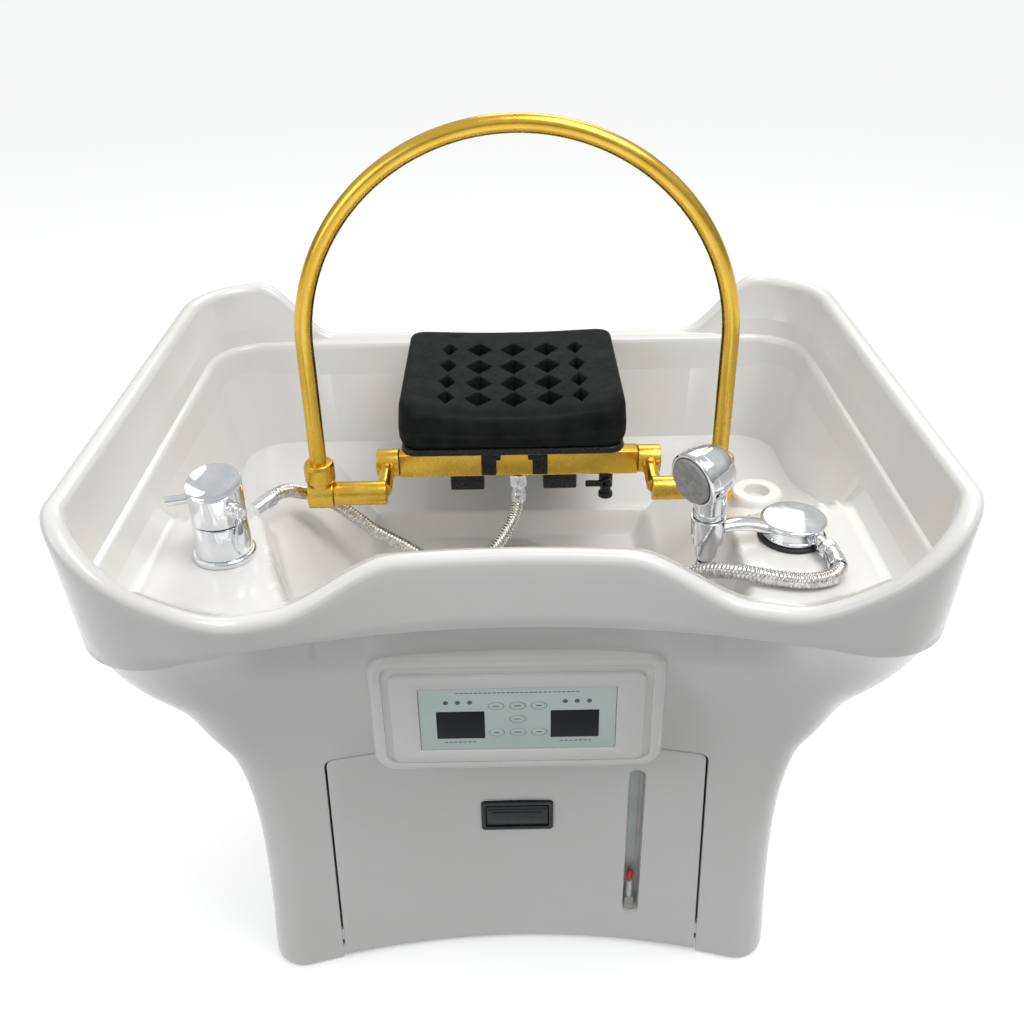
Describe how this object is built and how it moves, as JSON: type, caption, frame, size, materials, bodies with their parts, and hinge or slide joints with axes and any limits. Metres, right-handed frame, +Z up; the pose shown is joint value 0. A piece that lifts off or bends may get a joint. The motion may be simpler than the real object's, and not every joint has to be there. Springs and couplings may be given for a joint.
{
  "type": "shampoo backwash unit",
  "caption": "Free-standing hair-washing basin on a pedestal, with a swinging water arch, a lift-off headrest, deck mixers, a hand shower and a drop-front cabinet.",
  "frame": {"origin": "on the floor, under the middle of the tub's rim", "axes": "+Z up, +X to the operator's right, +Y from the operator towards the client's neck"},
  "size_m": [0.75, 0.5766, 0.9245],
  "materials": {
    "white_shell": "gloss moulded plastic",
    "inner_white": "plain moulded plastic",
    "rubber": "matt rubber",
    "black_plastic": "satin moulded plastic",
    "soft_black": "soft moulded foam with a fine grain",
    "clear_tube": "clear tube",
    "red_float": "gloss",
    "steel": "brushed",
    "label": "printed film, no lettering",
    "screen": "dark window",
    "chrome": "polished",
    "grey_face": "fine spray plate",
    "gold": "gold anodised, satin"
  },
  "bodies": {
    "frame": {"basin_tub": "white_shell", "pedestal_shell": "white_shell", "base_plate": "inner_white", "foot_front_left": "rubber", "foot_front_right": "rubber", "foot_back_left": "rubber", "foot_back_right": "rubber", "catch_magnet": "steel", "water_tank": "inner_white", "level_channel": "inner_white", "level_tube": "clear_tube", "circulation_pump": "steel", "heater_unit": "steel", "control_box": "inner_white", "drain_body": "inner_white", "waste_pipe": "inner_white", "power_inlet": "black_plastic", "overflow_ring": "white_shell", "panel_bezel": "white_shell", "label_plate": "label", "display_left": "screen", "display_right": "screen", "mixer_base": "chrome", "mixer_body": "chrome", "diverter_seal": "rubber", "diverter_body": "chrome", "diverter_elbow": "chrome", "handset_cradle": "chrome", "handset_hose": "chrome", "hose_ferrule": "chrome", "ring_hose": "chrome", "inlet_coupling": "chrome", "crossbar": "gold", "crossbar_mount": "steel", "valve_body": "black_plastic"},
    "door": {"front_door": "white_shell", "latch_bezel": "black_plastic"},
    "door_pull": {"latch_paddle": "black_plastic"},
    "float": {"level_float": "red_float"},
    "key_1_body": {"key_1": "label"},
    "key_2_body": {"key_2": "label"},
    "key_3_body": {"key_3": "label"},
    "key_4_body": {"key_4": "label"},
    "key_5_body": {"key_5": "label"},
    "key_6_body": {"key_6": "label"},
    "key_7_body": {"key_7": "label"},
    "mixer_top": {"mixer_cap": "chrome"},
    "diverter_top": {"diverter_cap": "chrome"},
    "handset": {"handset_body": "chrome", "handset_face": "grey_face"},
    "swing_arm_left": {"arm_left": "gold"},
    "swing_arm_right": {"arm_right": "gold"},
    "arch": {"arch_tube": "gold", "arch_block_left": "gold", "arch_block_right": "gold"},
    "valve_handle": {"valve_lever": "black_plastic"},
    "headrest": {"headrest_tray": "black_plastic", "headrest_cushion": "soft_black"},
    "strainer": {"drain_strainer": "chrome"}
  },
  "joints": [
    {"name": "door_tilt", "type": "hinge", "parent": "frame", "child": "door", "pos_m": [0, -0.14, 0.018], "axis": [1, 0, 0], "range_deg": [0, 75]},
    {"name": "pull_flip", "type": "hinge", "parent": "door", "child": "door_pull", "pos_m": [0, -0.125, 0.2205], "axis": [-1, 0, 0], "range_deg": [0, 40], "stiffness_Nm_per_rad": 0.05},
    {"name": "float_rise", "type": "slide", "parent": "frame", "child": "float", "axis": [0, 0, 1], "range_m": [0, 0.155]},
    {"name": "key_1_press", "type": "slide", "parent": "frame", "child": "key_1_body", "axis": [0, 1, 0], "range_m": [0, 0.0004], "stiffness_N_per_m": 400},
    {"name": "key_2_press", "type": "slide", "parent": "frame", "child": "key_2_body", "axis": [0, 1, 0], "range_m": [0, 0.0004], "stiffness_N_per_m": 400},
    {"name": "key_3_press", "type": "slide", "parent": "frame", "child": "key_3_body", "axis": [0, 1, 0], "range_m": [0, 0.0004], "stiffness_N_per_m": 400},
    {"name": "key_4_press", "type": "slide", "parent": "frame", "child": "key_4_body", "axis": [0, 1, 0], "range_m": [0, 0.0004], "stiffness_N_per_m": 400},
    {"name": "key_5_press", "type": "slide", "parent": "frame", "child": "key_5_body", "axis": [0, 1, 0], "range_m": [0, 0.0004], "stiffness_N_per_m": 400},
    {"name": "key_6_press", "type": "slide", "parent": "frame", "child": "key_6_body", "axis": [0, 1, 0], "range_m": [0, 0.0004], "stiffness_N_per_m": 400},
    {"name": "key_7_press", "type": "slide", "parent": "frame", "child": "key_7_body", "axis": [0, 1, 0], "range_m": [0, 0.0004], "stiffness_N_per_m": 400},
    {"name": "mixer_turn", "type": "hinge", "parent": "frame", "child": "mixer_top", "pos_m": [-0.262, -0.15, 0.62], "axis": [0, 0, 1], "range_deg": [-45, 45]},
    {"name": "diverter_turn", "type": "hinge", "parent": "frame", "child": "diverter_top", "pos_m": [0.257, -0.138, 0.59], "axis": [0, 0, 1], "range_deg": [-45, 45]},
    {"name": "handset_lift", "type": "slide", "parent": "frame", "child": "handset", "axis": [0, 0, 1], "range_m": [0, 0.06]},
    {"name": "arm_swing_left", "type": "hinge", "parent": "frame", "child": "swing_arm_left", "pos_m": [-0.132, 0.0535, 0.554], "axis": [-1, 0, 0], "range_deg": [0, 20]},
    {"name": "arm_swing_right", "type": "hinge", "parent": "frame", "child": "swing_arm_right", "pos_m": [0.148, 0.0535, 0.554], "axis": [-1, 0, 0], "range_deg": [0, 20]},
    {"name": "arch_swing", "type": "hinge", "parent": "swing_arm_left", "child": "arch", "pos_m": [-0.196, -0.0065, 0.551], "axis": [-1, 0, 0], "range_deg": [-20, 50]},
    {"name": "valve_turn", "type": "hinge", "parent": "frame", "child": "valve_handle", "pos_m": [0.103, 0.043, 0.53], "axis": [0, -1, 0], "range_deg": [0, 90]},
    {"name": "headrest_lift", "type": "slide", "parent": "frame", "child": "headrest", "axis": [0, 0, 1], "range_m": [0, 0.05]},
    {"name": "strainer_lift", "type": "slide", "parent": "frame", "child": "strainer", "axis": [0, 0, 1], "range_m": [0, 0.03]}
  ],
  "couplings": [
    {"joint": "arm_swing_right", "follows": "arm_swing_left", "ratio": 1}
  ]
}
